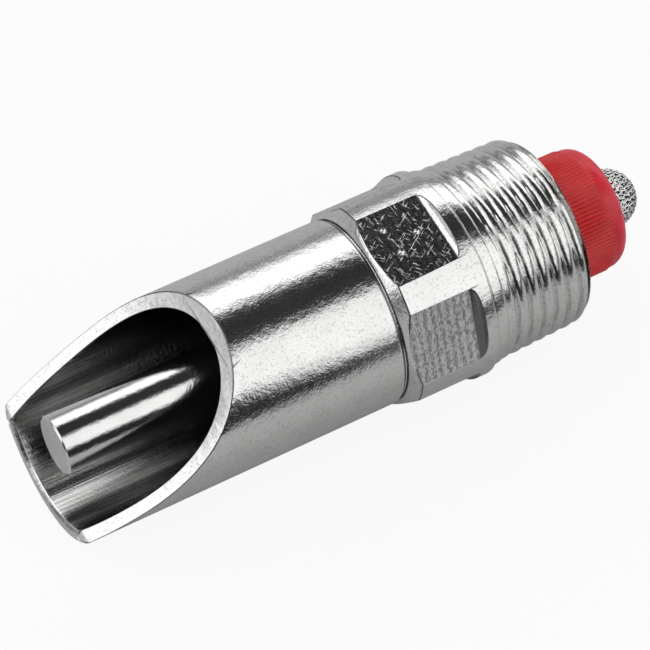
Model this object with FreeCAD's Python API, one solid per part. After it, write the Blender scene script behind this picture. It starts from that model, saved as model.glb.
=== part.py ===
import FreeCAD, Part
import math
import os

# Livestock bite drinker for a 3/4 inch pipe.
#
# A turned steel housing carries a scooped drinking cup, a six-flat wrench band and a pipe
# thread. A bite pin seals on a rubber washer inside it and opens the valve when it is pushed
# aside. A red plastic holder plugs the inlet and carries a thimble-shaped strainer.
#
# Frame: X runs along the housing's axis towards the cup's mouth, Z towards the middle of the
# scoop, and the origin is on the axis at the shoulder where the thread begins. Millimetres.

# Housing, outside
CUP_RADIUS = 12.5
CUP_LENGTH = 44.3
CUP_RIM_BEVEL = 0.5
BAND_RADIUS = 14.0
BAND_LENGTH = 11.3
BAND_CHAMFER = 1.15
FOOT_GROOVE_WIDTH = 0.35
FOOT_GROOVE_DEPTH = 0.2
LAND_RADIUS = 13.35
LAND_LENGTH = 1.7
THREAD_RADIUS = 13.1
THREAD_LENGTH = 13.0
THREAD_CHAMFER = 1.0

# Six milled flats on the band
FLAT_DISTANCE = 13.0
FLAT_COUNT = 6
COLLAR_WIDTH = 1.8
FLAT_TURN_DEG = -2.5
FLAT_RUN_OUT_RADIUS = 1.1
FLAT_CUTTER_OVERLAP = 0.5

# Scoop
SCOOP_START_HEIGHT = -5.95
SCOOP_SLOPE_DEG = 27.0
SCOOP_BEND_HEIGHT = -2.4
SCOOP_BEND_RADIUS = 42.0
SCOOP_CORNER_RADIUS = 1.5
SCOOP_CUTTER_OVERLAP = 1.0

# Housing, inside
CUP_WALL = 1.8
PARTITION_FRONT = 15.0
PARTITION_THICKNESS = 5.0
GUIDE_CLEARANCE = 1.3
CHAMBER_RADIUS = 8.4
INLET_BEVEL = 0.5
SEAT_RADIUS = 6.0
SEAT_WIDTH = 0.8
SEAT_HEIGHT = 0.6

# Bite pin
PIN_RADIUS = 3.9
PIN_SETBACK = 1.5
PIN_CHAMFER = 0.5
PIN_HEAD_RADIUS = 7.0
PIN_HEAD_THICKNESS = 2.2
PIN_BOSS_LENGTH = 1.5
PIN_BOSS_CLEARANCE = 0.3
PIN_FILLET_RADIUS = 0.15

# Seal washer
WASHER_THICKNESS = 2.0
WASHER_STRETCH_GAP = 0.05

# Valve spring
SPRING_WIRE_RADIUS = 0.45
SPRING_COIL_RADIUS = 4.5
SPRING_TURNS = 5
SPRING_STEPS_PER_TURN = 12
SPRING_WIRE_SIDES = 8
SPRING_POCKET_CLEARANCE = 0.5

# Filter holder
HOLDER_FIT = 0.04
HOLDER_INSERTION = 9.0
HOLDER_STAND_OUT = 8.8
HOLDER_NOSE_RADIUS = 2.0
RIB_COUNT = 96
RIB_HEIGHT = 0.16
RIB_CREST_SHARE = 0.3
RIB_ROOT_RISE = 0.02
RIB_SETBACK = 1.0
RIB_INSERTION = 3.0
HOLDER_POCKET_DEPTH = 4.0
HOLDER_LEAD_BEVEL = 0.6

# Strainer thimble
STRAINER_RADIUS = 3.9
STRAINER_WALL = 0.3
STRAINER_STAND_OUT = 1.2
STRAINER_FLANGE_CLEARANCE = 0.25
STRAINER_FIT = 0.06
STRAINER_DOME_STEPS = 6

# Places worked out from the sizes above
band_front = LAND_LENGTH + BAND_LENGTH
band_foot = band_front + BAND_CHAMFER
cup_front = band_foot + CUP_LENGTH
flat_rear = LAND_LENGTH + COLLAR_WIDTH
cup_bore = CUP_RADIUS - CUP_WALL
partition_rear = PARTITION_FRONT - PARTITION_THICKNESS
guide_radius = PIN_RADIUS + GUIDE_CLEARANCE
seat_plane = partition_rear - SEAT_HEIGHT
head_front = seat_plane - WASHER_THICKNESS
head_rear = head_front - PIN_HEAD_THICKNESS
boss_radius = SPRING_COIL_RADIUS - SPRING_WIRE_RADIUS - PIN_BOSS_CLEARANCE
inlet_face = -THREAD_LENGTH
holder_front = inlet_face + HOLDER_INSERTION
holder_rear = inlet_face - HOLDER_STAND_OUT
ledge = holder_front - HOLDER_POCKET_DEPTH
holder_radius = CHAMBER_RADIUS - HOLDER_FIT
barrel_radius = holder_radius - RIB_HEIGHT
rib_end = holder_rear + HOLDER_NOSE_RADIUS + RIB_SETBACK
rib_start = inlet_face + RIB_INSERTION
pocket_radius = SPRING_COIL_RADIUS + SPRING_WIRE_RADIUS + SPRING_POCKET_CLEARANCE
strainer_bore = STRAINER_RADIUS + STRAINER_FIT
flange_radius = pocket_radius - STRAINER_FLANGE_CLEARANCE


def revolved(points):
    """Turn a closed outline of (x, radius) points about the X axis."""
    outline = [FreeCAD.Vector(x, 0, radius) for x, radius in points]
    face = Part.Face(Part.makePolygon(outline + outline[:1]))
    return face.revolve(FreeCAD.Vector(0, 0, 0), FreeCAD.Vector(1, 0, 0), 360)


def cylinder(radius, rear, front):
    """A solid cylinder on the axis between two places along X."""
    along_x = FreeCAD.Vector(1, 0, 0)
    return Part.makeCylinder(radius, front - rear, FreeCAD.Vector(rear, 0, 0), along_x)


def rims_at(body, x):
    """The round edges of a body that lie in the plane at x."""
    rims = [edge for edge in body.Edges if edge.Closed]
    return [rim for rim in rims if math.isclose(rim.CenterOfMass.x, x, abs_tol=1e-6)]


def housing_blank():
    """The turned outside: cup, wrench band with its front chamfer, land and thread blank."""
    return revolved([
        (inlet_face, 0),
        (inlet_face, THREAD_RADIUS - THREAD_CHAMFER),
        (inlet_face + THREAD_CHAMFER, THREAD_RADIUS),
        (0, THREAD_RADIUS),
        (0, LAND_RADIUS),
        (LAND_LENGTH, LAND_RADIUS),
        (LAND_LENGTH, BAND_RADIUS),
        (band_front, BAND_RADIUS),
        (band_foot, CUP_RADIUS),
        (band_foot, CUP_RADIUS - FOOT_GROOVE_DEPTH),
        (band_foot + FOOT_GROOVE_WIDTH, CUP_RADIUS - FOOT_GROOVE_DEPTH),
        (band_foot + FOOT_GROOVE_WIDTH, CUP_RADIUS),
        (cup_front - CUP_RIM_BEVEL, CUP_RADIUS),
        (cup_front, CUP_RADIUS - CUP_RIM_BEVEL),
        (cup_front, 0),
    ])


def housing_hollow():
    """The cup's bore, the pin's guide hole and the valve chamber with its raised seat."""
    seat_inner = SEAT_RADIUS - SEAT_WIDTH / 2
    seat_outer = SEAT_RADIUS + SEAT_WIDTH / 2
    return revolved([
        (inlet_face, 0),
        (inlet_face, CHAMBER_RADIUS + INLET_BEVEL),
        (inlet_face + INLET_BEVEL, CHAMBER_RADIUS),
        (partition_rear, CHAMBER_RADIUS),
        (partition_rear, seat_outer),
        (seat_plane, seat_outer),
        (seat_plane, seat_inner),
        (partition_rear, seat_inner),
        (partition_rear, guide_radius),
        (PARTITION_FRONT, guide_radius),
        (PARTITION_FRONT, cup_bore),
        (cup_front - CUP_RIM_BEVEL, cup_bore),
        (cup_front, cup_bore + CUP_RIM_BEVEL),
        (cup_front, 0),
    ])


def rear_lower_edge(cutter):
    """The edge of a flat's cutter that faces the collar, where the tool is rounded."""
    return min(cutter.Edges, key=lambda edge: edge.CenterOfMass.x + edge.CenterOfMass.z)


def milled_flats():
    """The six cutter passes that leave the wrench flats and the collar behind them."""
    half_chord = math.sqrt(BAND_RADIUS ** 2 - FLAT_DISTANCE ** 2)
    half_width = half_chord + FLAT_CUTTER_OVERLAP
    corner = FreeCAD.Vector(flat_rear, -half_width, FLAT_DISTANCE)
    passes = []
    for index in range(FLAT_COUNT):
        cutter = Part.makeBox(band_foot - flat_rear, 2 * half_width, BAND_RADIUS, corner)
        cutter = cutter.makeFillet(FLAT_RUN_OUT_RADIUS, [rear_lower_edge(cutter)])
        angle = FLAT_TURN_DEG + index * 360 / FLAT_COUNT
        cutter.rotate(FreeCAD.Vector(0, 0, 0), FreeCAD.Vector(1, 0, 0), angle)
        passes.append(cutter)
    return passes


def scoop_cutter():
    """What is milled off the cup's top: a slope from the mouth that bends up into an arc."""
    slope = math.radians(SCOOP_SLOPE_DEG)
    past_cup = CUP_RADIUS + SCOOP_CUTTER_OVERLAP
    past_front = cup_front + SCOOP_CUTTER_OVERLAP

    def at(x, z):
        return FreeCAD.Vector(x, -past_cup, z)

    # The small round where the slope meets the mouth's flat face
    corner_run = SCOOP_CORNER_RADIUS / math.tan(math.radians(90 + SCOOP_SLOPE_DEG) / 2)
    corner_low = SCOOP_START_HEIGHT - corner_run
    corner_x = cup_front - SCOOP_CORNER_RADIUS
    half_turn = math.radians(90 - SCOOP_SLOPE_DEG) / 2
    corner_start = at(cup_front, corner_low)
    corner_middle = at(
        corner_x + SCOOP_CORNER_RADIUS * math.cos(half_turn),
        corner_low + SCOOP_CORNER_RADIUS * math.sin(half_turn))
    corner_end = at(
        cup_front - corner_run * math.cos(slope),
        SCOOP_START_HEIGHT + corner_run * math.sin(slope))

    # The large bend, tangent to the slope, which rises until it is clear of the cup
    bend_x = cup_front - (SCOOP_BEND_HEIGHT - SCOOP_START_HEIGHT) / math.tan(slope)
    centre_x = bend_x + SCOOP_BEND_RADIUS * math.sin(slope)
    centre_z = SCOOP_BEND_HEIGHT + SCOOP_BEND_RADIUS * math.cos(slope)
    bend_from = math.pi / 2 - slope
    bend_to = math.asin((centre_z - past_cup) / SCOOP_BEND_RADIUS)

    def on_bend(angle):
        return at(
            centre_x - SCOOP_BEND_RADIUS * math.cos(angle),
            centre_z - SCOOP_BEND_RADIUS * math.sin(angle))

    edges = [
        Part.LineSegment(at(past_front, corner_low), corner_start),
        Part.Arc(corner_start, corner_middle, corner_end),
        Part.LineSegment(corner_end, on_bend(bend_from)),
        Part.Arc(on_bend(bend_from), on_bend((bend_from + bend_to) / 2), on_bend(bend_to)),
        Part.LineSegment(on_bend(bend_to), at(past_front, past_cup)),
        Part.LineSegment(at(past_front, past_cup), at(past_front, corner_low)),
    ]
    outline = Part.Wire([edge.toShape() for edge in edges])
    return Part.Face(outline).extrude(FreeCAD.Vector(0, 2 * past_cup, 0))


def housing():
    """One turned and milled bar of steel, from the drinking cup to the pipe thread."""
    body = housing_blank().cut(housing_hollow())
    for cutter in milled_flats():
        body = body.cut(cutter)
    return body.cut(scoop_cutter()).removeSplitter()


def bite_pin():
    """The round pin that the animal bites, with the valve head turned on its inner end."""
    tip = cup_front - PIN_SETBACK
    return revolved([
        (head_rear - PIN_BOSS_LENGTH, 0),
        (head_rear - PIN_BOSS_LENGTH, boss_radius - PIN_FILLET_RADIUS),
        (head_rear - PIN_BOSS_LENGTH + PIN_FILLET_RADIUS, boss_radius),
        (head_rear, boss_radius),
        (head_rear, PIN_HEAD_RADIUS - PIN_FILLET_RADIUS),
        (head_rear + PIN_FILLET_RADIUS, PIN_HEAD_RADIUS),
        (head_front, PIN_HEAD_RADIUS),
        (head_front, PIN_RADIUS),
        (tip - PIN_CHAMFER, PIN_RADIUS),
        (tip, PIN_RADIUS - PIN_CHAMFER),
        (tip, 0),
    ])


def seal_washer():
    """The rubber washer on the pin, between the pin's head and the housing's raised seat."""
    washer = cylinder(PIN_HEAD_RADIUS, head_front, seat_plane)
    return washer.cut(cylinder(PIN_RADIUS + WASHER_STRETCH_GAP, head_front, seat_plane))


def valve_spring():
    """The compression spring between the pin's head and the strainer's flange."""
    rear = ledge + STRAINER_WALL + SPRING_WIRE_RADIUS
    front = head_rear - SPRING_WIRE_RADIUS
    steps = SPRING_TURNS * SPRING_STEPS_PER_TURN
    path = []
    for step in range(steps + 1):
        angle = 2 * math.pi * step / SPRING_STEPS_PER_TURN
        path.append(FreeCAD.Vector(
            rear + (front - rear) * step / steps,
            SPRING_COIL_RADIUS * math.cos(angle),
            SPRING_COIL_RADIUS * math.sin(angle)))
    section = []
    for corner in range(SPRING_WIRE_SIDES + 1):
        angle = 2 * math.pi * corner / SPRING_WIRE_SIDES
        section.append(FreeCAD.Vector(
            path[0].x + SPRING_WIRE_RADIUS * math.cos(angle),
            path[0].y + SPRING_WIRE_RADIUS * math.sin(angle),
            path[0].z))
    return Part.makePolygon(path).makePipeShell([Part.makePolygon(section)], True, False, 1)


def grip_ribs():
    """The ring of fine ribs for the fingers, pushed out of one serrated outline."""
    pitch = 2 * math.pi / RIB_COUNT
    valley_radius = barrel_radius + RIB_ROOT_RISE
    outline = []
    for index in range(RIB_COUNT):
        valley = index * pitch
        crest_start = valley + pitch * (1 - RIB_CREST_SHARE) / 2
        crest_end = crest_start + pitch * RIB_CREST_SHARE
        for angle, radius in (
                (valley, valley_radius), (crest_start, holder_radius), (crest_end, holder_radius)):
            outline.append(FreeCAD.Vector(rib_end, radius * math.cos(angle), radius * math.sin(angle)))
    ring = Part.Face(Part.makePolygon(outline + outline[:1]))
    return ring.extrude(FreeCAD.Vector(rib_start - rib_end, 0, 0))


def filter_holder():
    """The moulded plug: a plain barrel, a ring of grip ribs and a rounded nose behind."""
    barrel = cylinder(barrel_radius, holder_rear, holder_front)
    barrel = barrel.makeFillet(HOLDER_NOSE_RADIUS, rims_at(barrel, holder_rear))
    barrel = barrel.makeChamfer(HOLDER_LEAD_BEVEL, rims_at(barrel, holder_front))
    body = barrel.fuse(grip_ribs())
    body = body.cut(cylinder(pocket_radius, ledge, holder_front))
    return body.cut(cylinder(strainer_bore, holder_rear, ledge))


def thimble(radius, front):
    """A round bar from the place front back to a dome, which is pressed in even steps."""
    dome_centre = holder_rear - STRAINER_STAND_OUT
    outline = [(front, 0), (front, radius)]
    for step in range(STRAINER_DOME_STEPS):
        angle = math.pi / 2 * step / STRAINER_DOME_STEPS
        outline.append((dome_centre - radius * math.sin(angle), radius * math.cos(angle)))
    return revolved(outline + [(dome_centre - radius, 0)])


def strainer():
    """The woven wire thimble: a flange on the holder's ledge, a tube and a domed end."""
    front = ledge + STRAINER_WALL
    flange = cylinder(flange_radius, ledge, front)
    body = thimble(STRAINER_RADIUS, front).fuse(flange)
    return body.cut(thimble(STRAINER_RADIUS - STRAINER_WALL, front))


PIECES = {
    "housing": housing,
    "bite_pin": bite_pin,
    "seal_washer": seal_washer,
    "valve_spring": valve_spring,
    "filter_holder": filter_holder,
    "strainer": strainer,
}

os.makedirs("parts", exist_ok=True)
for name, make in PIECES.items():
    shape = make()
    print(name, "valid" if shape.isValid() else "NOT VALID", len(shape.Solids), round(shape.Volume, 2))
    shape.exportStep("parts/" + name + ".step")
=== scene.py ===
import math

import bpy
from mathutils import Matrix, Vector


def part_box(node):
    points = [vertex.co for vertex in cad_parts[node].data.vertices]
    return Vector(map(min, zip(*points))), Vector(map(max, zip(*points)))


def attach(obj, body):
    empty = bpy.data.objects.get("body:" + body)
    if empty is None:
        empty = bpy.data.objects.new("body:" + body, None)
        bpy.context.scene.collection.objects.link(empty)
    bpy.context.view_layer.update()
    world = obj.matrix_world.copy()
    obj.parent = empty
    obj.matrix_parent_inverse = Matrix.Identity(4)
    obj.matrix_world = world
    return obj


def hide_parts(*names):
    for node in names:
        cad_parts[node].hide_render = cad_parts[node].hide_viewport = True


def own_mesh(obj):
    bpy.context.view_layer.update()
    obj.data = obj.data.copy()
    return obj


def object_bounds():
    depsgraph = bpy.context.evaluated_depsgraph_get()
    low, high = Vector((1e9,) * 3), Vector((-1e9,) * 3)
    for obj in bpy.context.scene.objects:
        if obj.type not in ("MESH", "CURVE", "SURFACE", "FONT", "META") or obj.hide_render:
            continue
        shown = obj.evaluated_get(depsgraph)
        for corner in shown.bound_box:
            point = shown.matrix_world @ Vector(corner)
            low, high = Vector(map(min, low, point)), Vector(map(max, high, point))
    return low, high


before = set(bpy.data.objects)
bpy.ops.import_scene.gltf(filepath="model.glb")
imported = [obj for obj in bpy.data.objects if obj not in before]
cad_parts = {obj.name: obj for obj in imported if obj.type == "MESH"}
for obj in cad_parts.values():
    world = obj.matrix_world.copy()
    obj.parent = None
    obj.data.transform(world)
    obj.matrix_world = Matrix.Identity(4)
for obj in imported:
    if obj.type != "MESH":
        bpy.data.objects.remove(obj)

cad_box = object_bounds()
scene = bpy.context.scene


# ---------------------------------------------------------------------------
# Camera. It looks down on the cup's mouth from the front left, from far away
# and with a long lens, so the drinker lies slanting up to the right.
# ---------------------------------------------------------------------------
view_azimuth, view_elevation, view_roll = (math.radians(turn) for turn in (143.365, 57.157, 7.878))
aim_x, camera_distance = 0.01886, 0.42539
toward_camera = Vector((
    math.sin(view_azimuth) * math.cos(view_elevation),
    -math.cos(view_azimuth) * math.cos(view_elevation),
    math.sin(view_elevation)))
camera = bpy.data.objects.new("camera", bpy.data.cameras.new("camera"))
camera.data.lens = 188.11
camera.data.sensor_width = 36.0
camera.data.clip_start = 0.02
camera.data.clip_end = 20.0
camera.location = Vector((aim_x, 0.0, 0.0)) + toward_camera * camera_distance
camera.rotation_mode = "QUATERNION"
level = (-toward_camera).to_track_quat("-Z", "Y").to_matrix()
camera.rotation_quaternion = (level @ Matrix.Rotation(view_roll, 3, "Z")).to_quaternion()
scene.collection.objects.link(camera)
scene.camera = camera
scene.view_settings.view_transform = "Standard"


# ---------------------------------------------------------------------------
# Studio. A pale floor under the drinker, white light panels to both sides, a
# black flag overhead between them and a black card low on one side. Polished
# steel shows them as long bands.
# ---------------------------------------------------------------------------
def add_node(material, kind, **sockets):
    """A new node with its sockets set by name, a space in the name written as _."""
    node = material.node_tree.nodes.new(kind)
    for socket, value in sockets.items():
        node.inputs[socket.replace("_", " ")].default_value = value
    return node


def join(material, source, target):
    material.node_tree.links.new(source, target)


def maths(material, operation, first, second=0.0, third=0.0):
    node = material.node_tree.nodes.new("ShaderNodeMath")
    node.operation = operation
    for index, value in enumerate((first, second, third)):
        if isinstance(value, bpy.types.NodeSocket):
            join(material, value, node.inputs[index])
        else:
            node.inputs[index].default_value = value
    return node.outputs[0]


def ramp(material, factor, stops):
    """A colour ramp through stops of a place and a grey level or a colour."""
    node = material.node_tree.nodes.new("ShaderNodeValToRGB")
    elements = node.color_ramp.elements
    while len(elements) < len(stops):
        elements.new(0.5)
    for element, (place, shade) in zip(elements, stops):
        element.position = place
        element.color = (shade, shade, shade, 1.0) if isinstance(shade, float) else (*shade, 1.0)
    join(material, factor, node.inputs["Fac"])
    return node.outputs["Color"]


def blend_colours(material, factor, first, second, mode="MIX"):
    node = material.node_tree.nodes.new("ShaderNodeMix")
    node.data_type = "RGBA"
    node.blend_type = mode
    factor_socket, first_socket, second_socket = 0, 6, 7
    for index, value in ((factor_socket, factor), (first_socket, first), (second_socket, second)):
        if isinstance(value, bpy.types.NodeSocket):
            join(material, value, node.inputs[index])
        elif index == factor_socket:
            node.inputs[index].default_value = value
        else:
            node.inputs[index].default_value = (value, value, value, 1.0)
    return node.outputs[2]


studio = bpy.data.worlds.new("studio")
studio.use_nodes = True
studio.node_tree.nodes.clear()
direction = add_node(studio, "ShaderNodeTexCoord").outputs["Generated"]
parts = add_node(studio, "ShaderNodeSeparateXYZ")
join(studio, direction, parts.inputs[0])
around_x = maths(studio, "ARCTAN2", parts.outputs["Y"], parts.outputs["Z"])
turn_share = maths(studio, "MULTIPLY_ADD", around_x, 0.5 / math.pi, 0.5)

# Degrees turned about X from straight up, and how bright the studio is there,
# for light that comes from behind the drinker and from in front of it.
rear_panels = [
    (-180.0, 0.28), (-78.0, 0.28), (-66.0, 1.5), (-42.0, 1.6), (-33.0, 0.03), (7.0, 0.03), (15.0, 1.15),
    (55.0, 1.2), (72.0, 0.95), (78.0, 0.02), (90.0, 0.02), (94.0, 0.5), (180.0, 0.5)]
front_panels = [(-180.0, 0.12), (-82.8, 0.15), (-61.2, 1.35), (3.6, 1.35), (25.2, 0.08), (180.0, 0.08)]
rear_light, front_light = (
    ramp(studio, turn_share, [(degrees / 360 + 0.5, shade) for degrees, shade in panels])
    for panels in (rear_panels, front_panels))
toward_front = add_node(studio, "ShaderNodeMapRange", From_Min=0.05, From_Max=0.30)
join(studio, parts.outputs["X"], toward_front.inputs["Value"])
all_panels = blend_colours(studio, toward_front.outputs["Result"], rear_light, front_light)
backdrop_white = 0.99
seen_directly = add_node(studio, "ShaderNodeLightPath").outputs["Is Camera Ray"]
glow = add_node(studio, "ShaderNodeBackground")
join(studio, blend_colours(studio, seen_directly, all_panels, backdrop_white), glow.inputs["Color"])
join(studio, glow.outputs[0], add_node(studio, "ShaderNodeOutputWorld").inputs["Surface"])
scene.world = studio

bpy.ops.object.select_all(action="DESELECT")
bpy.ops.mesh.primitive_grid_add(
    x_subdivisions=8, y_subdivisions=8, size=6.0, location=(0.0, 0.0, cad_box[0].z))
floor = bpy.context.object
floor.name = "floor"
bpy.ops.object.transform_apply(location=True, rotation=True, scale=True)
paper = bpy.data.materials.new("pale_paper")
paper.use_nodes = True
paper.node_tree.nodes.clear()
matt = add_node(paper, "ShaderNodeBsdfDiffuse", Color=(0.93, 0.93, 0.93, 1.0))
lit_from_below = add_node(paper, "ShaderNodeEmission", Color=(1.0, 1.0, 1.0, 1.0), Strength=1.0)
seen_paper = add_node(paper, "ShaderNodeMixShader", Fac=0.9)
join(paper, matt.outputs[0], seen_paper.inputs[1])
join(paper, lit_from_below.outputs[0], seen_paper.inputs[2])
dim_paper = add_node(paper, "ShaderNodeBsdfDiffuse", Color=(0.62, 0.62, 0.62, 1.0))
paper_choice = add_node(paper, "ShaderNodeMixShader")
join(paper, add_node(paper, "ShaderNodeLightPath").outputs["Is Camera Ray"], paper_choice.inputs[0])
join(paper, dim_paper.outputs[0], paper_choice.inputs[1])
join(paper, seen_paper.outputs[0], paper_choice.inputs[2])
join(paper, paper_choice.outputs[0], add_node(paper, "ShaderNodeOutputMaterial").inputs["Surface"])
floor.data.materials.append(paper)

card_y, card_height = 0.095, 0.062
card_corners = ((-0.012, 0.0), (0.062, 0.0), (0.008, card_height), (0.062, card_height))
bpy.ops.object.select_all(action="DESELECT")
bpy.ops.mesh.primitive_plane_add(size=1.0, location=(0.0, card_y, 0.0))
card = bpy.context.object
card.name = "black_card"
for vertex, (corner_x, corner_z) in zip(card.data.vertices, card_corners):
    vertex.co = (corner_x, 0.0, corner_z)
bpy.ops.object.transform_apply(location=True, rotation=True, scale=True)
velvet = bpy.data.materials.new("black_velvet")
velvet.use_nodes = True
velvet.node_tree.nodes.clear()
near_black = add_node(velvet, "ShaderNodeEmission", Color=(0.02, 0.02, 0.02, 1.0))
join(velvet, near_black.outputs[0], add_node(velvet, "ShaderNodeOutputMaterial").inputs["Surface"])
card.data.materials.append(velvet)
card.visible_camera = False
card.visible_diffuse = False
card.visible_shadow = False
card.visible_transmission = False


# ---------------------------------------------------------------------------
# Housing. One bar of stainless steel, turned and bored in a lathe, with six
# wrench flats milled on its band, the mouth milled off at a slant and a tapered
# 3/4 inch pipe thread behind. The outside is polished, the cuts are not. The bore,
# the groove, the eased edges and the lower flat's run-outs are painted darker as painted shade.
# ---------------------------------------------------------------------------
mm = 0.001
cup_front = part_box("housing")[1].x / mm
inlet_rear, thread_rear, thread_front = -13.0, -12.9, -0.12
band_radius, band_front = 14.0, 13.0
groove_rear, groove_front, groove_radius = 14.15, 14.7, 12.05
cup_radius, cup_bore, lip_ease = 12.5, 10.7, 0.45
partition_front, chamber_front, guide_radius = 15.0, 10.0, 5.2
seat_face, seat_inside, seat_outside = 9.4, 5.6, 6.4
chamber_radius, inlet_ease, corner_ease = 8.4, 0.5, 0.3
cup_rings = [15.0 + 1.4 * step for step in range(31)]
housing_outline = [
    (inlet_rear, 11.9), (thread_rear, 12.1), (thread_front, 13.1), (0.0, 13.2), (0.12, 13.35), (1.5, 13.35),
    (1.58, 13.22), (1.72, 13.22), (1.8, 13.9), (1.95, band_radius), (band_front, band_radius),
    (groove_rear, cup_radius), (groove_rear, groove_radius),
    (groove_front, groove_radius), (groove_front, cup_radius),
    *[(x, cup_radius) for x in cup_rings],
    (cup_front - lip_ease, cup_radius), (cup_front, cup_radius - lip_ease),
    (cup_front, cup_bore + lip_ease), (cup_front - lip_ease, cup_bore),
    *[(x, cup_bore) for x in cup_rings[:0:-1]],
    (partition_front + corner_ease, cup_bore), (partition_front, cup_bore - corner_ease),
    (partition_front, guide_radius), (chamber_front, guide_radius),
    (chamber_front, seat_inside), (seat_face, seat_inside), (seat_face, seat_outside),
    (chamber_front, seat_outside), (chamber_front, chamber_radius),
    (inlet_rear + inlet_ease, chamber_radius), (inlet_rear, chamber_radius + inlet_ease)]


def turn_outline(name, outline, columns, closed):
    """Turn an outline of places along X and radii into a skin, one ring pushed out of the last."""
    first_x, first_radius = outline[0]
    bpy.ops.object.select_all(action="DESELECT")
    bpy.ops.mesh.primitive_circle_add(
        vertices=columns, radius=first_radius * mm, fill_type="NOTHING" if closed else "NGON",
        location=(first_x * mm, 0.0, 0.0), rotation=(0.0, math.pi / 2, 0.0))
    piece = bpy.context.object
    piece.name = name
    bpy.ops.object.transform_apply(location=True, rotation=True, scale=True)
    bpy.ops.object.mode_set(mode="EDIT")
    bpy.ops.mesh.select_mode(type="EDGE")
    bpy.ops.mesh.select_all(action="SELECT")
    if not closed:
        bpy.ops.mesh.region_to_loop()
    ring_x, ring_radius = first_x, first_radius
    for x, radius in outline[1:] + outline[:1] * closed:
        push = ((x - ring_x) * mm, 0.0, 0.0)
        bpy.ops.mesh.extrude_edges_move(TRANSFORM_OT_translate={"value": push})
        share = radius / ring_radius
        bpy.ops.transform.resize(value=(1.0, share, share), center_override=(x * mm, 0.0, 0.0))
        ring_x, ring_radius = x, radius
    if not closed:
        bpy.ops.mesh.edge_face_add()
    bpy.ops.mesh.select_all(action="SELECT")
    bpy.ops.mesh.remove_doubles(threshold=0.0005 * mm)
    bpy.ops.mesh.normals_make_consistent(inside=False)
    bpy.ops.object.mode_set(mode="OBJECT")
    return piece


def cut_away(piece, cutter):
    bpy.context.view_layer.objects.active = piece
    cut = piece.modifiers.new("cut", "BOOLEAN")
    cut.operation = "DIFFERENCE"
    cut.solver = "EXACT"
    cut.object = cutter
    bpy.ops.object.modifier_apply(modifier=cut.name)
    bpy.data.objects.remove(cutter, do_unlink=True)


def ease_edges(piece, width, angle, finish=-1):
    """Round the edges that are sharper than an angle. The new faces get the given finish, or their
    neighbours' finish when none is given.
    """
    bpy.context.view_layer.objects.active = piece
    easing = piece.modifiers.new("edges", "BEVEL")
    easing.width = width * mm
    easing.segments = 2
    easing.material = finish
    easing.limit_method = "ANGLE"
    easing.angle_limit = math.radians(angle)
    easing.use_clamp_overlap = False
    bpy.ops.object.modifier_apply(modifier=easing.name)


def smooth_faces(piece, angle):
    bpy.ops.object.select_all(action="DESELECT")
    piece.select_set(True)
    bpy.context.view_layer.objects.active = piece
    bpy.ops.object.shade_smooth_by_angle(angle=math.radians(angle))


def select_edges(piece, is_wanted):
    """Leave a piece open for editing, with the edges selected whose two ends pass a test."""
    bpy.ops.object.mode_set(mode="EDIT")
    bpy.ops.mesh.select_mode(type="EDGE")
    bpy.ops.mesh.select_all(action="DESELECT")
    bpy.ops.object.mode_set(mode="OBJECT")
    ends = piece.data.vertices
    for edge in piece.data.edges:
        edge.select = is_wanted(*(ends[index].co for index in edge.vertices))
    bpy.ops.object.mode_set(mode="EDIT")


housing = turn_outline("housing_steel", housing_outline, 240, True)

flat_distance, flat_turn, flat_rear, mill_front, mill_reach = 13.0, math.radians(-2.5), 3.5, 14.2, 20.0
run_out_height, run_out_length, arc_steps = 1.05, 1.1, 8
to_corner = 1 / math.cos(math.pi / 6)
mill_outline = [(mill_front, mill_reach), (flat_rear, mill_reach)]
for step in range(arc_steps + 1):
    angle = math.pi / 2 * step / arc_steps
    mill_outline.append((
        flat_rear + run_out_length * (1 - math.cos(angle)),
        (flat_distance + run_out_height * (1 - math.sin(angle))) * to_corner))
mill_outline.append((mill_front, flat_distance * to_corner))
mill = turn_outline("mill", mill_outline, 6, True)
corner = mill.data.vertices[0].co
corner_angle = math.atan2(-corner.y, corner.z)
mill.data.transform(Matrix.Rotation(flat_turn + math.pi / 6 - corner_angle, 4, "X"))
cut_away(housing, mill)

slope = math.radians(27.0)
bend_radius, bend_height, bend_steps, start_height, corner_radius = 42.0, -2.4, 60, -5.95, 1.5
above_cup, past_cup = 14.0, 1.0
corner_low = start_height - corner_radius / math.tan((math.pi / 2 + slope) / 2)
bend_x = cup_front - (bend_height - start_height) / math.tan(slope)
centre_x = bend_x + bend_radius * math.sin(slope)
centre_z = bend_height + bend_radius * math.cos(slope)
bend_from, bend_to = math.pi / 2 - slope, math.asin((centre_z - above_cup) / bend_radius)
scoop_outline = [(cup_front + past_cup, corner_low)]
for step in range(arc_steps + 1):
    angle = (math.pi / 2 - slope) * step / arc_steps
    scoop_outline.append((
        cup_front - corner_radius + corner_radius * math.cos(angle),
        corner_low + corner_radius * math.sin(angle)))
for step in range(bend_steps + 1):
    angle = bend_from + (bend_to - bend_from) * step / bend_steps
    scoop_outline.append((centre_x - bend_radius * math.cos(angle), centre_z - bend_radius * math.sin(angle)))
scoop_outline.append((cup_front + past_cup, above_cup))
bpy.ops.object.select_all(action="DESELECT")
bpy.ops.mesh.primitive_circle_add(vertices=len(scoop_outline), radius=mm, fill_type="NGON")
scoop = bpy.context.object
for vertex, (x, z) in zip(scoop.data.vertices, scoop_outline):
    vertex.co = (x * mm, -above_cup * mm, z * mm)
bpy.ops.object.mode_set(mode="EDIT")
bpy.ops.mesh.select_all(action="SELECT")
across = (0.0, 2 * above_cup * mm, 0.0)
bpy.ops.mesh.extrude_region_move(TRANSFORM_OT_translate={"value": across})
bpy.ops.mesh.select_all(action="SELECT")
bpy.ops.mesh.normals_make_consistent(inside=False)
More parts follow.
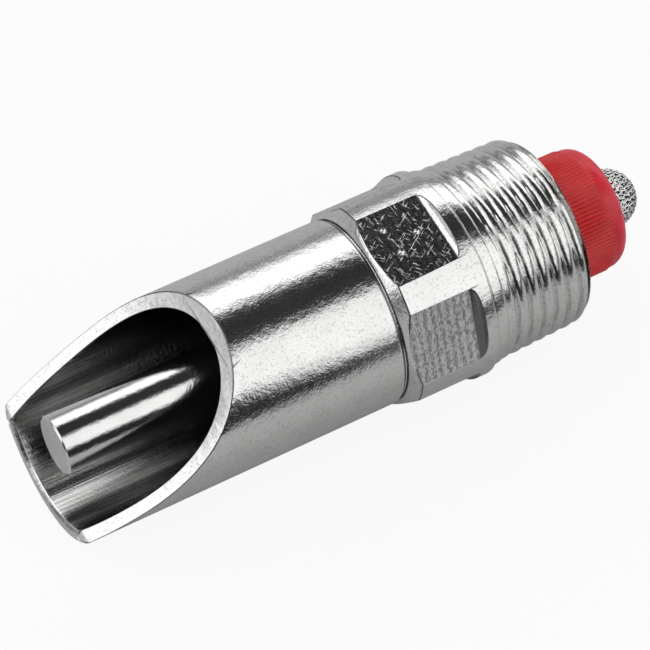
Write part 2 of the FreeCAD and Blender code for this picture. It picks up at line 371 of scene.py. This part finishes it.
bpy.ops.object.mode_set(mode="OBJECT")
cut_away(housing, scoop)

dings = (((10.66, -1.85, 13.2), 0.42), ((6.98, 0.12, 13.16), 0.45), ((10.17, 1.84, 13.08), 0.5))
for ding_place, ding_radius in dings:
    bpy.ops.object.select_all(action="DESELECT")
    bpy.ops.mesh.primitive_uv_sphere_add(
        segments=20, ring_count=12, radius=ding_radius * mm, location=[place * mm for place in ding_place])
    cut_away(housing, bpy.context.object)

# Six finish slots. The bore slot and the last, dark slot carry painted shade.
finish_count = 6
polished_finish, thread_finish, milled_finish, rim_finish, bore_painted_shade, dark_painted_shade = range(finish_count)
for finish in range(finish_count):
    housing.data.materials.append(None)
# The eased edges get the dark steel: painted shade along the edges.
ease_edges(housing, 0.11, 32.0, finish=dark_painted_shade)

thread_pitch, thread_depth, crest_start, crest_turn = 1.88, 0.72, -2.0, -62.6
crest_radius, taper, lead_in, thread_cuts = 13.11, 0.031, 0.85, 190
skin_radius = 10.5


def thread_radius(x, around):
    """The thread's surface: rounded crests on a taper, which fade out toward the band."""
    phase = (x - crest_start) / thread_pitch + (math.degrees(around) - crest_turn) / 360
    from_crest = abs(phase - round(phase))
    down = min(max((from_crest - 0.31) / 0.15, 0.0), 1.0)
    root = down * down * (3 - 2 * down) * 0.58
    rounding = (1 - math.cos(2 * math.pi * from_crest)) * 0.18
    fade = min(max((-0.25 - x) / 1.1, 0.0), 1.0)
    crest = crest_radius + (min(x, -1.0) + 1.0) * taper
    worn_end = max(0.0, -11.9 - x) * lead_in
    return crest - worn_end - fade * thread_depth * (root + rounding)


def from_axis(point):
    return math.hypot(point.y, point.z)


def runs_along_thread(one, two):
    long_enough = abs(one.x - two.x) > 11.0 * mm
    return long_enough and min(from_axis(one), from_axis(two)) > skin_radius * mm and two.x < 0.5 * mm


select_edges(housing, runs_along_thread)
bpy.ops.mesh.subdivide(number_cuts=thread_cuts)
bpy.ops.object.mode_set(mode="OBJECT")
end_slack = 0.001
for vertex in housing.data.vertices:
    x, radius = vertex.co.x / mm, from_axis(vertex.co) / mm
    if thread_rear - end_slack < x < thread_front + end_slack and radius > skin_radius:
        share = thread_radius(x, math.atan2(vertex.co.y, vertex.co.z)) / radius
        vertex.co.y *= share
        vertex.co.z *= share
smooth_faces(housing, 32.0)
even = housing.modifiers.new("even_shading", "WEIGHTED_NORMAL")
even.keep_sharp = True
even.weight = 90
bpy.ops.object.modifier_apply(modifier=even.name)


def steel(name, shade, roughness, speckle, grain, rings=0.0, scratches=0.0, streaks=0.0, stain=0.0):
    """Bare steel. Speckle, cutting grain round the axis, rings, scratches and streaks along the
    bore are heights in metres, stain is how dark its specks are, and noise scales are per metre."""
    material = bpy.data.materials.new(name)
    material.use_nodes = True
    shader = material.node_tree.nodes["Principled BSDF"]
    shader.inputs["Metallic"].default_value = 1.0
    place = add_node(material, "ShaderNodeTexCoord").outputs["Object"]
    axes = add_node(material, "ShaderNodeSeparateXYZ")
    join(material, place, axes.inputs[0])
    turn = maths(material, "ARCTAN2", axes.outputs["Y"], axes.outputs["Z"])
    y_squared, z_squared = (
        maths(material, "MULTIPLY", axes.outputs[axis], axes.outputs[axis]) for axis in "YZ")
    reach = maths(material, "SQRT", maths(material, "ADD", y_squared, z_squared))

    def noise(vector, scale, detail=2.0, rough=0.55):
        texture = add_node(material, "ShaderNodeTexNoise", Scale=scale, Detail=detail, Roughness=rough)
        join(material, vector, texture.inputs["Vector"])
        return texture.outputs["Fac"]

    def wound(along, about, out):
        """Places stretched along the axis, about it and out from it."""
        vector = add_node(material, "ShaderNodeCombineXYZ")
        for index, (value, scale) in enumerate(((axes.outputs["X"], along), (turn, about), (reach, out))):
            join(material, maths(material, "MULTIPLY", value, scale), vector.inputs[index])
        return vector.outputs[0]

    def raised(height, pattern, depth):
        return maths(material, "ADD", height, maths(material, "MULTIPLY", pattern, depth))

    def darkened(tone, pattern, stops):
        return blend_colours(material, 1.0, tone, ramp(material, pattern, stops), "MULTIPLY")

    height = maths(material, "MULTIPLY", noise(place, 3800.0, 3.0), speckle)
    height = raised(height, noise(place, 900.0), speckle * 2.0)
    height = raised(height, noise(wound(9000.0, 14.0, 9000.0), 1.0), grain)
    shade_below = tuple(channel * 0.93 for channel in shade)
    tone = ramp(material, noise(place, 260.0, 3.0), [(0.3, shade_below), (0.7, shade)])
    if rings:
        waver = maths(material, "MULTIPLY", noise(wound(500.0, 9.0, 500.0), 1.0), 3.5)
        ring_place = maths(material, "MULTIPLY", axes.outputs["X"], 5900.0)
        wave = maths(material, "SINE", maths(material, "ADD", ring_place, waver))
        fine_lines = noise(wound(5200.0, 26.0, 500.0), 1.0)
        ring_lines = maths(material, "MULTIPLY_ADD", wave, 0.09, fine_lines)
        height = raised(height, ring_lines, rings)
        tone = darkened(tone, ring_lines, [(0.38, 0.42), (0.52, 0.80), (0.64, 1.0)])
    if streaks:
        drawn = noise(wound(45.0, 30.0, 45.0), 1.0, 3.0)
        height = raised(height, drawn, streaks)
        tone = darkened(tone, drawn, [(0.38, 0.55), (0.62, 1.0)])
    if stain:
        tone = darkened(tone, noise(place, 2600.0, 4.0, 0.7), [(0.36, 1.0 - stain), (0.47, 1.0)])
    if scratches:
        for slant, along_scale in ((0.6, 500.0), (-0.9, 650.0), (1.7, 420.0)):
            turned = add_node(material, "ShaderNodeMapping", Rotation=(0.0, 0.0, slant),
                              Scale=(1 / along_scale, 1 / 4200, 1 / 900))
            turned.vector_type = "TEXTURE"
            join(material, place, turned.inputs["Vector"])
            nick = ramp(material, noise(turned.outputs["Vector"], 1.0, 1.0), [(0.66, 0.0), (0.73, 1.0)])
            height = raised(height, nick, scratches)
    bump = add_node(material, "ShaderNodeBump", Strength=1.0, Distance=1.0)
    join(material, height, bump.inputs["Height"])
    join(material, bump.outputs[0], shader.inputs["Normal"])
    smoothest, spread = roughness * 0.75, roughness * 0.5
    patchy_roughness = maths(material, "MULTIPLY_ADD", noise(place, 420.0, 4.0), spread, smoothest)
    join(material, patchy_roughness, shader.inputs["Roughness"])
    join(material, tone, shader.inputs["Base Color"])
    return material


housing_finishes = (
    steel("polished_steel", (0.80, 0.80, 0.79), 0.15, 2.4e-5, 3e-6, stain=0.25),
    steel("threaded_steel", (0.80, 0.80, 0.79), 0.14, 1.4e-5, 1e-5, stain=0.3),
    steel("milled_steel", (0.80, 0.80, 0.79), 0.17, 1.3e-5, 2e-6, rings=5e-6, scratches=1.9e-5),
    steel("rim_steel", (0.90, 0.90, 0.89), 0.34, 3e-5, 4e-6, stain=0.32),
    # The bore's steel is painted darker than the outside, as painted shade inside the cup and the chamber.
    # Its streaks are drawing marks.
    steel("bore_painted_shade_steel", (0.58, 0.58, 0.57), 0.12, 5e-6, 2.8e-5, streaks=2.2e-5),
    # Painted shade: a near-black steel for the eased edges of the rim and flats, the groove and the lower
    # flat's run-outs.
    steel("dark_painted_shade_steel", (0.20, 0.20, 0.20), 0.25, 1.5e-5, 3e-6))
for index, finish in enumerate(housing_finishes):
    housing.data.materials[index] = finish


def housing_finish(face):
    """Which finish a face of the housing has, by where it lies and which way it faces. The bore, the groove,
    the eased edges and the lower flat's run-outs get painted shade.
    """
    x, y, z = face.center / mm
    normal = face.normal
    radius = math.hypot(y, z)
    outward = (normal.y * y + normal.z * z) / radius
    on_band = flat_rear - 0.2 < x and 12.9 < radius
    # Eased edges on the rim and the flats keep the painted dark shade; elsewhere they are polished.
    if face.material_index == dark_painted_shade:
        on_rim = x > 20.0 and z > corner_low + 0.5
        on_flat = 2.5 < x < 13.5
        return dark_painted_shade if on_rim or on_flat else polished_finish
    # Painted shade in the groove between the band and the cup.
    if 14.1 < x < 14.75 and radius < 12.45:
        return dark_painted_shade
    # Painted shade on the run-outs of the lower flat.
    if on_band and x < 5.0 and normal.x > 0.05 and radius < 13.95 and y > 9.0:
        return dark_painted_shade
    # Painted shade: the bore and the inner side of the rim get the darker bore steel.
    if radius < 11.0 and outward < 0.3 and x > 14.0:
        return bore_painted_shade
    if x < 0.2 and radius > 10.0:
        return thread_finish
    # Painted shade: the valve chamber and the guide bore get the darker bore steel.
    if x < 15.0 and radius < 10.8:
        return bore_painted_shade
    if on_band and x < 13.2 and abs(normal.x) < 0.05 and radius < 13.93:
        return milled_finish
    faces_up = abs(normal.y) < 0.25 and normal.z > 0.2 and outward < 0.985
    if faces_up and x > 20.0 and z > corner_low - 0.3 and 10.4 < radius < 12.7:
        return rim_finish
    return polished_finish


for face in housing.data.polygons:
    face.material_index = housing_finish(face)
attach(housing, "housing")
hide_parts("housing")


# ---------------------------------------------------------------------------
# Bite pin. A ground stainless rod with a chamfered end, which the animal
# pushes aside. Its other end is turned with a round valve head.
# ---------------------------------------------------------------------------
pin_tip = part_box("bite_pin")[1].x / mm
pin_radius, pin_chamfer = 3.9, 0.22
head_rear, head_front, head_radius, head_ease = 5.2, 7.4, 7.0, 0.15
boss_rear, boss_radius = 3.7, 3.75
pin = turn_outline("bite_pin_steel", [
    (boss_rear, boss_radius - head_ease), (boss_rear + head_ease, boss_radius), (head_rear, boss_radius),
    (head_rear, head_radius - head_ease), (head_rear + head_ease, head_radius), (head_front, head_radius),
    (head_front, pin_radius), (20.0, pin_radius), (38.0, pin_radius),
    (pin_tip - pin_chamfer, pin_radius), (pin_tip, pin_radius - pin_chamfer)], 96, False)
ease_edges(pin, 0.04, 25.0)
smooth_faces(pin, 12.0)
pin.data.materials.append(steel("pin_steel", (0.78, 0.78, 0.77), 0.13, 1.6e-5, 3e-6))
pin.data.materials.append(steel("pin_face_steel", (0.70, 0.70, 0.69), 0.28, 1e-5, 5e-6))
for face in pin.data.polygons:
    if face.normal.x > 0.95 and face.center.x > (pin_tip - 0.2) * mm:
        face.material_index = 1
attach(pin, "pin")
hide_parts("bite_pin")


# ---------------------------------------------------------------------------
# Seal washer. Soft black rubber, punched from sheet and stretched over the
# pin, so its faces are flat and its outer edge bulges a little.
# ---------------------------------------------------------------------------
seal_middle = 8.4
outer_edge = [(-0.98, 6.7), (-0.8, 6.88), (-0.5, 6.96), (0.0, 7.0), (0.5, 6.96), (0.8, 6.88), (0.98, 6.7)]
inner_edge = [(0.98, 4.2), (0.88, 4.0), (0.0, 3.96), (-0.88, 4.0), (-0.98, 4.2)]
washer = turn_outline(
    "seal_rubber_ring", [(seal_middle + x, radius) for x, radius in outer_edge + inner_edge], 96, True)
smooth_faces(washer, 50.0)
rubber = bpy.data.materials.new("seal_rubber")
rubber.use_nodes = True
rubber_shader = rubber.node_tree.nodes["Principled BSDF"]
rubber_place = add_node(rubber, "ShaderNodeTexCoord").outputs["Object"]
dust = add_node(rubber, "ShaderNodeTexNoise", Scale=1800.0, Detail=4.0)
join(rubber, rubber_place, dust.inputs["Vector"])
clean_rubber, dusty_rubber = (0.012, 0.012, 0.013), (0.035, 0.034, 0.033)
rubber_tone = ramp(rubber, dust.outputs["Fac"], [(0.35, clean_rubber), (0.75, dusty_rubber)])
join(rubber, rubber_tone, rubber_shader.inputs["Base Color"])
rubber_roughness = maths(rubber, "MULTIPLY_ADD", dust.outputs["Fac"], 0.2, 0.5)
join(rubber, rubber_roughness, rubber_shader.inputs["Roughness"])
rubber_bump = add_node(rubber, "ShaderNodeBump", Strength=0.6, Distance=0.00002)
join(rubber, dust.outputs["Fac"], rubber_bump.inputs["Height"])
join(rubber, rubber_bump.outputs[0], rubber_shader.inputs["Normal"])
washer.data.materials.append(rubber)
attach(washer, "seal")
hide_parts("seal_washer")


# ---------------------------------------------------------------------------
# Valve spring. Stainless spring wire wound into an open coil with its two end
# turns closed, pressed between the pin's head and the strainer's flange.
# ---------------------------------------------------------------------------
spring_low, spring_high = (corner.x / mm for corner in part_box("valve_spring"))
wire_radius, wire_corners, coil_radius, coil_turns, steps_per_turn = 0.45, 14, 4.5, 6, 48
spring_rear, spring_front = spring_low + wire_radius, spring_high - wire_radius
coil_steps = steps_per_turn * coil_turns
bpy.ops.object.select_all(action="DESELECT")
bpy.ops.mesh.primitive_circle_add(vertices=wire_corners, radius=wire_radius * mm, fill_type="NOTHING")
spring = bpy.context.object
spring.name = "spring_coil"
for vertex in spring.data.vertices:
    vertex.co = (vertex.co.x, 0.0, coil_radius * mm + vertex.co.y)
wound_length = 1.0
winding = spring.modifiers.new("winding", "SCREW")
winding.axis = "X"
winding.angle = 2 * math.pi * coil_turns
winding.screw_offset = wound_length
winding.steps = winding.render_steps = coil_steps
bpy.ops.object.modifier_apply(modifier=winding.name)
closed_rise = 2 * wire_radius * 1.02
open_rise = (spring_front - spring_rear - 2 * closed_rise) / (coil_turns - 2)
for index, vertex in enumerate(spring.data.vertices):
    share = (index // wire_corners) / coil_steps
    turns = share * coil_turns
    open_turns = min(max(turns - 1.0, 0.0), coil_turns - 2.0)
    closed_turns = min(turns, 1.0) + max(turns - coil_turns + 1.0, 0.0)
    rise = closed_rise * closed_turns + open_rise * open_turns
    vertex.co.x = vertex.co.x - share * wound_length + (spring_rear + rise) * mm
bpy.ops.object.mode_set(mode="EDIT")
bpy.ops.mesh.select_mode(type="EDGE")
bpy.ops.mesh.select_all(action="DESELECT")
bpy.ops.mesh.select_non_manifold()
bpy.ops.mesh.edge_face_add()
bpy.ops.mesh.select_all(action="SELECT")
bpy.ops.mesh.normals_make_consistent(inside=False)
bpy.ops.object.mode_set(mode="OBJECT")
smooth_faces(spring, 60.0)
spring.data.materials.append(steel("spring_steel", (0.62, 0.61, 0.60), 0.25, 3e-6, 1e-6))
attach(spring, "spring_carrier")
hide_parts("valve_spring")
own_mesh(spring)


# ---------------------------------------------------------------------------
# Filter holder. Red polypropylene, moulded: a ribbed barrel that is pressed
# into the inlet by hand, with a smooth rounded rim that lets some light through.
# ---------------------------------------------------------------------------
holder_rear, holder_front = (corner.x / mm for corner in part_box("filter_holder"))
rib_count, rib_start, rib_end, rib_height = 96, -10.0, -19.1, 0.18
barrel_radius, nose_radius, nose_steps, rib_foot = 8.2, 2.1, 10, 0.01
rib_profile = (0.0, 0.35, 0.85, 1.0, 0.85, 0.35)
rib_columns = rib_count * len(rib_profile)
holder_outline = [(holder_rear + 0.02, 4.15), (holder_rear, 4.3), (holder_rear, 5.4)]
for step in range(nose_steps + 1):
    angle = math.pi / 2 * step / nose_steps
    holder_outline.append((
        holder_rear + nose_radius - nose_radius * math.cos(angle),
        barrel_radius - nose_radius + nose_radius * math.sin(angle)))
rib_rings = (rib_end + 0.25, -15.6, -13.0, rib_start - 0.25)
holder_outline += [
    (rib_end, barrel_radius), *[(x, barrel_radius + rib_foot) for x in rib_rings],
    (rib_start, barrel_radius), (holder_front - 0.6, barrel_radius), (holder_front, 7.6),
    (holder_front, 5.45), (-8.0, 5.45), (-8.0, 4.0), (holder_rear + 0.25, 3.97)]
holder = turn_outline("filter_holder_red", holder_outline, rib_columns, True)
for vertex in holder.data.vertices:
    x, y, z = vertex.co / mm
    if rib_end + 0.1 < x < rib_start - 0.1 and math.hypot(y, z) > barrel_radius - 0.05:
        column = round(math.atan2(y, z) / (2 * math.pi) * rib_columns) % len(rib_profile)
        share = 1 + rib_height * rib_profile[column] / barrel_radius
        vertex.co.y *= share
        vertex.co.z *= share
smooth_faces(holder, 40.0)
red_plastic = bpy.data.materials.new("red_plastic")
red_plastic.use_nodes = True
red_shader = red_plastic.node_tree.nodes["Principled BSDF"]
red_place = add_node(red_plastic, "ShaderNodeTexCoord").outputs["Object"]
red_axes = add_node(red_plastic, "ShaderNodeSeparateXYZ")
join(red_plastic, red_place, red_axes.inputs[0])
toward_rim = add_node(red_plastic, "ShaderNodeMapRange", From_Min=-0.0188, From_Max=-0.0210)
join(red_plastic, red_axes.outputs["X"], toward_rim.inputs["Value"])
mottle = add_node(red_plastic, "ShaderNodeTexNoise", Scale=700.0, Detail=4.0)
join(red_plastic, red_place, mottle.inputs["Vector"])
# Painted light: a pinkish glow is added toward the rim, for light passing through the thin plastic there.
deep_red, bright_red, rim_painted_glow = (0.62, 0.014, 0.018), (0.74, 0.026, 0.030), (0.10, 0.004, 0.035)
body_red = ramp(red_plastic, mottle.outputs["Fac"], [(0.3, deep_red), (0.7, bright_red)])
rim_glow_red = ramp(red_plastic, toward_rim.outputs["Result"], [(0.0, 0.0), (1.0, rim_painted_glow)])
join(red_plastic, blend_colours(red_plastic, 1.0, body_red, rim_glow_red, "ADD"), red_shader.inputs["Base Color"])
red_roughness = maths(red_plastic, "MULTIPLY_ADD", mottle.outputs["Fac"], 0.16, 0.30)
join(red_plastic, red_roughness, red_shader.inputs["Roughness"])
red_shader.inputs["Subsurface Weight"].default_value = 0.35
red_shader.inputs["Subsurface Radius"].default_value = (1.0, 0.12, 0.16)
red_shader.inputs["Subsurface Scale"].default_value = 0.0012
red_bump = add_node(red_plastic, "ShaderNodeBump", Strength=0.5, Distance=0.00001)
join(red_plastic, mottle.outputs["Fac"], red_bump.inputs["Height"])
join(red_plastic, red_bump.outputs[0], red_shader.inputs["Normal"])
holder.data.materials.append(red_plastic)
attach(holder, "holder")
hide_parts("filter_holder")


# ---------------------------------------------------------------------------
# Strainer. A thimble pressed from woven stainless wire cloth, with its flange
# clamped under the spring and its domed end standing out of the holder.
# ---------------------------------------------------------------------------
cloth_radius, cloth_pitch, cloth_wire, weave = 3.79, 0.68, 0.135, 0.12
dome_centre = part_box("strainer")[0].x / mm + 3.75
quarter_round = cloth_radius * math.pi / 2
cloth_reach = quarter_round + 2.2


def runs_across_rows(one, two):
    return abs(one.y - two.y) > 1e-6


def cloth_wires(name, along_first):
    """One set of the cloth's wires: the rows of a grid, bent over and under, then over the dome."""
    lines = int(cloth_reach / cloth_pitch)
    steps = 2 * lines
    bpy.ops.object.select_all(action="DESELECT")
    bpy.ops.mesh.primitive_grid_add(x_subdivisions=2 * steps, y_subdivisions=2 * lines, size=2.0)
    wires = bpy.context.object
    wires.name = name
    select_edges(wires, runs_across_rows)
    bpy.ops.mesh.delete(type="EDGE_FACE")
    bpy.ops.mesh.select_mode(type="VERT")
    bpy.ops.mesh.select_all(action="DESELECT")
    bpy.ops.object.mode_set(mode="OBJECT")
    for vertex in wires.data.vertices:
        step = round((vertex.co.x + 1.0) * steps)
        line = round((vertex.co.y + 1.0) * lines)
        u = (step - steps) * cloth_pitch / 2
        v = (line - lines) * cloth_pitch
        lift = 0.0
        if step % 2 == 0:
            lift = weave if (step // 2 + line + along_first) % 2 else -weave
        if not along_first:
            u, v = v, u
        away = math.hypot(u, v)
        about = math.atan2(v, u)
        vertex.select = away > cloth_reach
        bent = min(away / cloth_radius, math.pi / 2)
        reach = (cloth_radius + lift) * math.sin(bent)
        x = dome_centre - (cloth_radius + lift) * math.cos(bent) + max(away - quarter_round, 0.0)
        vertex.co = (x * mm, reach * math.cos(about) * mm, reach * math.sin(about) * mm)
    bpy.ops.object.mode_set(mode="EDIT")
    bpy.ops.mesh.delete(type="VERT")
    bpy.ops.object.mode_set(mode="OBJECT")
    bpy.ops.object.convert(target="CURVE")
    wires.data.bevel_depth = cloth_wire * mm
    wires.data.bevel_resolution = 1
    wires.data.use_fill_caps = True
    bpy.ops.object.convert(target="MESH")
    return wires


warp = cloth_wires("strainer_cloth", True)
weft = cloth_wires("strainer_weft", False)
bpy.ops.object.select_all(action="DESELECT")
weft.select_set(True)
warp.select_set(True)
bpy.context.view_layer.objects.active = warp
bpy.ops.object.join()
strainer = bpy.context.object
smooth_faces(strainer, 60.0)
strainer.data.materials.clear()
strainer.data.materials.append(steel("strainer_wire", (0.85, 0.85, 0.83), 0.16, 2e-6, 1e-6))
# Painted shade: the sides of the wires that face into the dome get a near-black steel.
strainer.data.materials.append(steel("strainer_wire_painted_shade", (0.06, 0.06, 0.06), 0.5, 2e-6, 1e-6))
for face in strainer.data.polygons:
    from_centre = face.center - Vector((dome_centre * mm, 0.0, 0.0))
    if face.normal.dot(from_centre.normalized()) < 0.12:
        face.material_index = 1
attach(strainer, "holder")
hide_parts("strainer")
